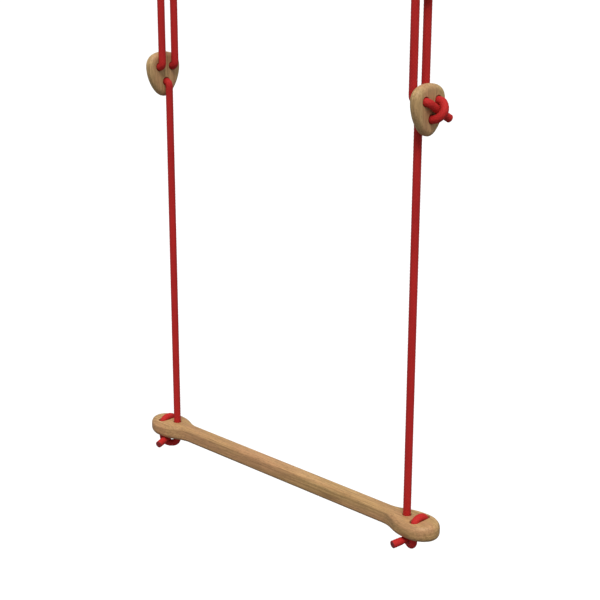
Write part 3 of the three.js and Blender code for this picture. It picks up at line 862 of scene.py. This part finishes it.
def make_bolt(prefix, side, material):
    head = chamfered_hexagon("head", HEAD_HEIGHT, False)
    head.data.transform(Matrix.Translation((0, 0, HEAD_START)))
    tip = -BOLT_TIP
    profile = [(0, tip), (AXLE_RADIUS - 1.1, tip), (AXLE_RADIUS - 0.4, tip + 0.7)]
    profile += thread(AXLE_RADIUS, tip + 0.9, -WASHER_START)
    profile += [(AXLE_RADIUS, -WASHER_START + 1), (AXLE_RADIUS, HEAD_START + 1), (0, HEAD_START + 1)]
    bolt = lathe("bolt", profile)
    unite(bolt, head)
    bolt.data.transform(ALONG_X)
    hardware_place(bolt, prefix, side, -AXLE_DROP, "axle_bolt", material, "ceiling_mounts")


def make_washer(prefix, side, node, start, material):
    inner, outer, bevel = AXLE_RADIUS + GAP, WASHER_RADIUS, WASHER_BEVEL
    end = start + WASHER_THICKNESS
    ring = [
        (inner, start + bevel), (inner + bevel, start), (outer - bevel, start), (outer, start + bevel),
        (outer, end - bevel), (outer - bevel, end), (inner + bevel, end), (inner, end - bevel),
    ]
    washer = lathe("washer", ring, 64, True)
    washer.data.transform(ALONG_X)
    hardware_place(washer, prefix, side, -AXLE_DROP, node, material, "ceiling_mounts")


def make_lock_nut(prefix, side, material):
    nut = chamfered_hexagon("nut", NUT_HEIGHT - NUT_COLLAR_HEIGHT)
    rim = HEX_ACROSS_FLATS / 2 - 0.9
    collar = [
        (0, 3), (rim, 3), (rim, NUT_HEIGHT - 1), (rim - 0.3, NUT_HEIGHT - 0.3),
        (rim - 1, NUT_HEIGHT), (0, NUT_HEIGHT),
    ]
    unite(nut, lathe("collar", collar))
    cut(nut, drill(0, 0, AXLE_RADIUS + GAP, NUT_HEIGHT, EYE_RIM, 0.3))
    nut.data.transform(
        ALONG_X @ Matrix.Translation((0, 0, -HEAD_START)) @ Matrix.Rotation(math.pi, 4, "X"))
    hardware_place(nut, prefix, side, -AXLE_DROP, "lock_nut", material, "ceiling_mounts")


def make_bush(prefix, side, node, turn, material):
    inner, outer, edge = AXLE_RADIUS + BUSH_CLEARANCE, BUSH_FLANGE_RADIUS, BUSH_EDGE
    start, flange, end = BUSH_CLEARANCE, TAB_THICKNESS / 2 + GAP, EAR_INNER - GAP
    ring = [
        (inner, start), (BUSH_RADIUS - edge, start), (BUSH_RADIUS, start + edge), (BUSH_RADIUS, flange),
        (outer - edge, flange), (outer, flange + edge), (outer, end - edge), (outer - edge, end),
        (inner + edge, end), (inner, end - edge),
    ]
    bush = lathe("bush", ring, 64, True)
    bush.data.transform(ALONG_X @ Matrix.Rotation(turn, 4, "X"))
    hardware_place(bush, prefix, side, -AXLE_DROP, node, material, "hangers", "nylon")


def make_axle(prefix, side, material, nylon):
    make_bolt(prefix, side, material)
    make_washer(prefix, side, "head_washer", WASHER_START, material)
    make_washer(prefix, side, "nut_washer", -WASHER_START - WASHER_THICKNESS, material)
    make_lock_nut(prefix, side, material)
    make_bush(prefix, side, "inner_bush", math.pi, nylon)
    make_bush(prefix, side, "outer_bush", 0, nylon)


def make_hanger_tab(prefix, side, material):
    shape = (
        arc((0, 0), TAB_EYE_RADIUS, 0, 180, 30)
        + straight((-TAB_EYE_RADIUS, 0), (-TAB_EYE_RADIUS, -TAB_HOLE_DROP), 4)
        + arc((0, -TAB_HOLE_DROP), TAB_EYE_RADIUS, 180, 360, 30)
        + straight((TAB_EYE_RADIUS, -TAB_HOLE_DROP), (TAB_EYE_RADIUS, 0), 4)
    )
    tab = rounded_board("tab", shape, TAB_THICKNESS, TAB_EDGE, 5)
    eye = drill(0, 0, BUSH_RADIUS + GAP, TAB_THICKNESS, EYE_RIM, EYE_RIM)
    cut(tab, eye)
    hole = drill(0, -TAB_HOLE_DROP, TAB_HOLE_RADIUS, TAB_THICKNESS, TAB_HOLE_RIM, TAB_HOLE_RIM)
    cut(tab, hole)
    tab.data.transform(Matrix.Translation((-TAB_THICKNESS / 2, 0, 0)) @ ALONG_X)
    hardware_place(tab, prefix, side, -AXLE_DROP, "hanger_tab", material, "hangers")


def make_link(prefix, side, material):
    bend = LINK_BEND_RADIUS
    half = LINK_STRAIGHT / 2
    line = (
        straight((bend, LINK_GAP), (bend, half), 6)
        + arc((0, half), bend, 0, 180, 40)
        + straight((-bend, half), (-bend, -half), 12)
        + arc((0, -half), bend, 180, 360, 40)
        + straight((bend, -half), (bend, -LINK_GAP), 6)
        + [Vector((bend, -LINK_GAP))]
    )
    link = round_tube("link", [(p.x, 0, p.y) for p in line], LINK_WIRE_RADIUS)
    hardware_place(link, prefix, side, LINK_MIDDLE, "link", material, f"{prefix}_link")


def make_link_sleeve(prefix, side, material):
    sleeve = chamfered_hexagon("sleeve", SLEEVE_LENGTH)
    bore = drill(0, 0, LINK_WIRE_RADIUS + GAP, SLEEVE_LENGTH, SLEEVE_RIM, SLEEVE_RIM)
    cut(sleeve, bore)
    sleeve.data.transform(Matrix.Translation((LINK_BEND_RADIUS, 0, -SLEEVE_LENGTH / 2)))
    hardware_place(sleeve, prefix, side, LINK_MIDDLE, "link_sleeve", material, f"{prefix}_link")


def make_hanger(prefix, side, tab_steel, link_steel):
    make_hanger_tab(prefix, side, tab_steel)
    make_link(prefix, side, link_steel)
    make_link_sleeve(prefix, side, tab_steel)


# -------------------- materials
class Nodes:
    """A node tree, with short calls for the nodes used here."""

    def __init__(self, tree):
        self.tree = tree

    def node(self, kind, inputs=None, **settings):
        made = self.tree.nodes.new("ShaderNode" + kind)
        for key, value in settings.items():
            setattr(made, key, value)
        for key, value in (inputs or {}).items():
            self.join(value, made.inputs[key])
        return made

    def join(self, value, socket):
        """Sets a socket to a plain value, or links it to an output."""
        if isinstance(value, bpy.types.NodeSocket):
            self.tree.links.new(value, socket)
        else:
            socket.default_value = value

    def math(self, operation, first, second=0.0, third=0.0):
        made = self.node("Math", {0: first, 1: second, 2: third}, operation=operation)
        return made.outputs[0]

    def scaled(self, vector, scale, offset=(0, 0, 0), turn=(0, 0, 0)):
        made = self.node("Mapping", {
            "Vector": vector, "Scale": scale, "Location": offset, "Rotation": turn})
        return made.outputs[0]

    def vector(self, x, y, z=0.0):
        return self.node("CombineXYZ", {"X": x, "Y": y, "Z": z}).outputs[0]

    def noise(self, vector, scale, detail=3.0, roughness=0.5):
        made = self.node("TexNoise", {
            "Vector": vector, "Scale": scale, "Detail": detail, "Roughness": roughness})
        return made.outputs["Fac"]

    def remap(self, value, low, high, to_low=0.0, to_high=1.0):
        made = self.node("MapRange", {
            "Value": value, "From Min": low, "From Max": high, "To Min": to_low, "To Max": to_high})
        return made.outputs["Result"]

    def mix(self, factor, first, second, blend="MIX"):
        made = self.node("Mix", {0: factor, 6: first, 7: second}, data_type="RGBA", blend_type=blend)
        return made.outputs[2]


class Shader(Nodes):
    """A new material, whose node tree ends in one surface."""

    def __init__(self, name):
        self.material = bpy.data.materials.new(name)
        self.material.use_nodes = True
        super().__init__(self.material.node_tree)
        self.surface = self.tree.nodes["Principled BSDF"]

    def bump(self, height, distance):
        made = self.node("Bump", {"Height": height, "Distance": distance})
        self.finish({"Normal": made.outputs[0]})

    def finish(self, values):
        """Sets some of the surface's inputs."""
        for name, value in values.items():
            self.join(value, self.surface.inputs[name])


def wood_material(name, turn, shift, early, late):
    """Oiled hardwood, its grain along X after the turn, with rings, fibres, streaks, flecks and pores."""
    s = Shader(name)
    place = s.node("TexCoord").outputs["Object"]
    grain = s.scaled(place, (1000, 1000, 1000), (0, 0, 0), turn)

    rings = s.node("TexWave", {
        "Vector": s.scaled(grain, (0.05, 1, 1), shift), "Scale": 0.062, "Distortion": 3.2,
        "Detail": 2.0, "Detail Scale": 0.9, "Detail Roughness": 0.55,
    }, wave_type="RINGS", rings_direction="X").outputs["Fac"]
    fibres = s.noise(s.scaled(grain, (0.03, 0.95, 0.95)), 1.0, 4.0, 0.68)
    pores = s.remap(s.noise(s.scaled(grain, (0.16, 2.6, 2.6), (7, 3, 5)), 1.0, 2.0, 0.5), 0.60, 0.70)
    patches = s.noise(s.scaled(grain, (0.006, 0.05, 0.05), (3, 1, 2)), 1.0, 2.0, 0.5)
    streaks = s.noise(s.scaled(grain, (0.013, 0.36, 0.36), (1, 8, 4)), 1.0, 3.0, 0.6)
    flecks = s.remap(s.noise(s.scaled(grain, (0.07, 1.0, 1.0), (9, 2, 6)), 1.0, 2.0, 0.5), 0.56, 0.72)

    ring_share = s.math("MULTIPLY", s.math("POWER", rings, 1.8), 0.55)
    colour = s.mix(ring_share, early, late)
    colour = s.mix(s.remap(streaks, 0.40, 0.66, 0.0, 0.8), colour, late)
    colour = s.mix(s.remap(streaks, 0.56, 0.70, 0.0, 0.45), colour, (0.22, 0.125, 0.052, 1))
    colour = s.mix(s.remap(patches, 0.38, 0.66, 0.0, 0.6), colour, (0.54, 0.27, 0.14, 1))
    colour = s.mix(s.math("MULTIPLY", flecks, 0.6), colour, (0.26, 0.15, 0.066, 1))
    fibre_tint = s.mix(s.remap(fibres, 0.3, 0.7), (0.70, 0.70, 0.67, 1), (1.12, 1.11, 1.10, 1))
    colour = s.mix(1.0, colour, fibre_tint, "MULTIPLY")
    colour = s.mix(s.math("MULTIPLY", pores, 0.55), colour, (0.17, 0.085, 0.04, 1))
    roughness = s.remap(fibres, 0.3, 0.7, 0.60, 0.46)
    s.finish({"Base Color": colour, "Roughness": roughness, "Specular IOR Level": 0.36})
    height = s.math("SUBTRACT", s.math("MULTIPLY", fibres, 0.5), s.math("MULTIPLY", pores, 0.8))
    height = s.math("MULTIPLY_ADD", ring_share, -0.35, height)
    s.bump(height, 0.00016)
    return s.material


def rope_material():
    """Braided polyester: each strand's filaments, painted shade darkening the gaps between strands, and a
    little fuzz.
    """
    s = Shader("red braided rope")
    braid = s.node("SeparateXYZ", {"Vector": s.node("UVMap", uv_map="braid").outputs["UV"]}).outputs
    first = s.math("ADD", braid["X"], braid["Y"])
    second = s.math("SUBTRACT", braid["X"], braid["Y"])
    both = s.math("ADD", s.math("FLOOR", first), s.math("FLOOR", second))
    second_on_top = s.math("FLOORED_MODULO", both, 2.0)
    first_part = s.math("FRACT", first)
    second_part = s.math("FRACT", second)

    def choose(a, b):
        return s.math("MULTIPLY_ADD", second_on_top, s.math("SUBTRACT", b, a), a)

    across = choose(first_part, second_part)
    lengthwise = choose(second_part, first_part)
    from_middle = s.math("ABSOLUTE", s.math("MULTIPLY_ADD", across, 2.0, -1.0))
    from_crown = s.math("ABSOLUTE", s.math("MULTIPLY_ADD", lengthwise, 2.0, -1.0))
    side_gap = s.math("POWER", from_middle, 7.0)
    end_gap = s.math("MULTIPLY", s.math("POWER", from_crown, 5.0), 0.6)
    gap = s.math("MAXIMUM", side_gap, end_gap)
    wander = s.noise(s.vector(s.math("MULTIPLY", across, 9.0), lengthwise, both), 1.0, 2.0)
    filaments = s.math("SINE", s.math("MULTIPLY_ADD", wander, 3.0, s.math("MULTIPLY", across, 44.0)))

    rope_space = s.vector(braid["X"], braid["Y"])
    strand = s.vector(s.math("FLOOR", first), s.math("FLOOR", second))
    strand_tone = s.node("TexWhiteNoise", {"Vector": strand}, noise_dimensions="3D").outputs["Value"]
    patches = s.noise(s.scaled(rope_space, (0.25, 0.06, 1)), 1.0, 3.0)

    colour = s.mix(s.remap(patches, 0.3, 0.7), (0.49, 0.014, 0.013, 1), (0.60, 0.020, 0.017, 1))
    colour = s.mix(s.math("MULTIPLY", strand_tone, 0.22), colour, (0.66, 0.030, 0.022, 1))
    colour = s.mix(s.remap(filaments, -1.0, 1.0, 0.16, 0.0), colour, (0.25, 0.008, 0.010, 1))
    # Painted shade: the colour darkens into the gaps between strands, where shade falls
    colour = s.mix(s.math("MULTIPLY", gap, 0.5), colour, (0.16, 0.004, 0.006, 1))
    s.finish({"Base Color": colour, "Roughness": 0.62, "Specular IOR Level": 0.22})
    s.finish({"Sheen Weight": 0.05, "Sheen Roughness": 0.45, "Sheen Tint": (1.0, 0.45, 0.42, 1)})
    fuzz = s.noise(s.scaled(rope_space, (6, 6, 1)), 1.0, 4.0, 0.7)
    height = s.math("MULTIPLY_ADD", fuzz, 0.5, s.math("MULTIPLY", filaments, 0.35))
    s.bump(s.math("SUBTRACT", height, s.math("MULTIPLY", gap, 0.8)), 0.00012)
    return s.material


def sealed_end_material():
    """The rope's heat-sealed end: darker, smoother and lumpy, with the ends of the core's yarns."""
    s = Shader("sealed rope end")
    place = s.node("TexCoord").outputs["Object"]
    cells = s.node("TexVoronoi", {"Vector": place, "Scale": 900.0}, feature="F1").outputs["Distance"]
    lumps = s.noise(place, 420.0, 4.0, 0.6)
    colour = s.mix(s.remap(lumps, 0.3, 0.7), (0.20, 0.008, 0.010, 1), (0.40, 0.020, 0.020, 1))
    # Painted shade: darker along the low grooves between the yarn ends
    colour = s.mix(s.remap(cells, 0.2, 0.75, 0.0, 0.5), colour, (0.10, 0.004, 0.005, 1))
    s.finish({"Base Color": colour, "Roughness": s.remap(lumps, 0.3, 0.7, 0.35, 0.6)})
    s.bump(s.math("SUBTRACT", lumps, s.math("MULTIPLY", cells, 0.6)), 0.0002)
    return s.material


def steel_material(name, base, roughness, brushed):
    """Zinc-plated steel with fine scratches, faint blooms and duller patches."""
    s = Shader(name)
    place = s.node("TexCoord").outputs["Object"]
    scratches = s.noise(s.scaled(place, brushed), 1.0, 4.0, 0.6)
    blooms = s.noise(place, 55.0, 4.0, 0.6)
    specks = s.noise(place, 900.0, 2.0)
    warm = (base[0] * 1.05, base[1], base[2] * 0.9, 1)
    cool = (base[0] * 0.86, base[1] * 0.89, base[2] * 0.94, 1)
    colour = s.mix(s.remap(blooms, 0.3, 0.7), warm, cool)
    colour = s.mix(s.remap(scratches, 0.35, 0.7, 0.0, 0.3), colour, (0.32, 0.32, 0.33, 1))
    scratched = s.remap(scratches, 0.3, 0.7, -0.07, 0.1)
    bloomed = s.remap(blooms, 0.3, 0.7, roughness - 0.05, roughness + 0.1)
    s.finish({"Base Color": colour, "Metallic": 1.0, "Roughness": s.math("ADD", scratched, bloomed)})
    s.bump(s.math("MULTIPLY_ADD", specks, 0.35, scratches), 0.00004)
    return s.material


def nylon_material():
    """Moulded nylon, slightly see-through, with a fine matt grain."""
    s = Shader("nylon")
    place = s.node("TexCoord").outputs["Object"]
    cloud = s.noise(place, 180.0, 3.0)
    grain = s.noise(place, 2600.0, 2.0)
    colour = s.mix(cloud, (0.80, 0.78, 0.70, 1), (0.88, 0.87, 0.82, 1))
    s.finish({"Base Color": colour, "Roughness": s.remap(grain, 0.3, 0.7, 0.34, 0.5)})
    s.finish({"Subsurface Weight": 0.15, "Subsurface Scale": 0.002})
    s.bump(grain, 0.00003)
    return s.material


# -------------------- studio
FLOOR_HEIGHT = -2.4
FLOOR_REACH = 60
KEY_AZIMUTH = 44
KEY_ELEVATION = 60
KEY_STRENGTH = 2.55
KEY_SIZE = 24
LIGHT_FROM_BELOW = 0.20
LIGHT_FROM_ABOVE = 0.56


def make_floor():
    corners = [(x * FLOOR_REACH, y * FLOOR_REACH, 0) for x, y in ((-1, -1), (1, -1), (1, 1), (-1, 1))]
    floor = new_object("floor", corners, [(0, 1, 2, 3)])
    floor.location.z = FLOOR_HEIGHT
    s = Shader("pale floor")
    mottle = s.noise(s.node("TexCoord").outputs["Object"], 3.0, 3.0)
    colour = s.mix(mottle, (0.90, 0.90, 0.90, 1), (0.92, 0.92, 0.92, 1))
    s.finish({"Base Color": colour, "Roughness": 0.9, "Specular IOR Level": 0.1})
    floor.data.materials.append(s.material)
    floor.visible_diffuse = False
    floor.visible_glossy = False


def make_key():
    """A soft sun that shines down on the swing from its right front."""
    data = bpy.data.lights.new("key", "SUN")
    data.energy = KEY_STRENGTH
    data.angle = math.radians(KEY_SIZE)
    lamp = bpy.data.objects.new("key", data)
    scene.collection.objects.link(lamp)
    a, e = math.radians(KEY_AZIMUTH), math.radians(KEY_ELEVATION)
    back = Vector((math.sin(a) * math.cos(e), -math.cos(a) * math.cos(e), math.sin(e)))
    lamp.rotation_euler = back.to_track_quat("Z", "Y").to_euler()


def make_studio():
    make_floor()
    make_key()
    world = bpy.data.worlds.new("studio")
    world.use_nodes = True
    scene.world = world
    nodes = Nodes(world.node_tree)
    direction = nodes.node("TexCoord").outputs["Generated"]
    upwards = nodes.node("SeparateXYZ", {"Vector": direction}).outputs["Z"]
    light = nodes.remap(upwards, -0.6, 0.7, LIGHT_FROM_BELOW, LIGHT_FROM_ABOVE)
    # What the camera sees behind the swing is plain white, as the floor is
    seen = nodes.node("LightPath").outputs["Is Camera Ray"]
    strength = nodes.node("Mix", {0: seen, 2: light, 3: 1.0}).outputs[0]
    background = nodes.tree.nodes["Background"]
    nodes.join(strength, background.inputs["Strength"])
    nodes.join((1, 1, 1, 1), background.inputs["Color"])
    scene.view_settings.view_transform = "Standard"
    scene.view_settings.look = "None"


def make_rope(prefix, side, materials):
    rope = Rope(side)
    over_link, down, bend, entry, lacing = (
        rope.piece(f"{prefix}_rope_{part}", number, materials)
        for number, part in enumerate(("over_link", "down", "bend", "entry", "lacing"))
    )
    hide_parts(*[f"{prefix}_rope_{node}" for node in (
        "link_turn", "front_strand", "back_strand", "adjuster_loop", "adjuster_tail")])
    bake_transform(over_link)
    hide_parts(f"{prefix}_rope_long_strand")
    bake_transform(down)
    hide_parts(f"{prefix}_rope_foot")
    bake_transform(bend)
    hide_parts(f"{prefix}_rope_ball")
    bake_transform(entry)
    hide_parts(f"{prefix}_rope_bar_lacing", f"{prefix}_rope_bar_tail")
    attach(lacing, "bar")


make_camera()
rope_finishes = [rope_material(), sealed_end_material()]
for prefix, side in SIDES:
    make_rope(prefix, side, rope_finishes)

bar_wood = wood_material("oiled beech bar", (0, 0.012, 0.01), (0, 62, -80),
                         (0.63, 0.392, 0.168, 1), (0.38, 0.220, 0.080, 1))
adjuster_wood = wood_material("oiled beech adjusters", (0.02, math.pi / 2, 0.03), (0, 40, 75),
                              (0.65, 0.445, 0.205, 1), (0.44, 0.293, 0.120, 1))
make_bar(bar_wood)
plate_steel = steel_material("zinc plated plate", (0.60, 0.60, 0.62), 0.38, (500, 90, 500))
bolt_steel = steel_material("zinc plated bolt", (0.66, 0.66, 0.65), 0.28, (900, 300, 900))
link_steel = steel_material("polished steel link", (0.64, 0.64, 0.66), 0.2, (500, 500, 60))
nylon = nylon_material()
for prefix, side in SIDES:
    make_adjuster(prefix, side, adjuster_wood)
    make_bracket(prefix, side, plate_steel)
    make_axle(prefix, side, bolt_steel, nylon)
    make_hanger(prefix, side, bolt_steel, link_steel)
make_studio()
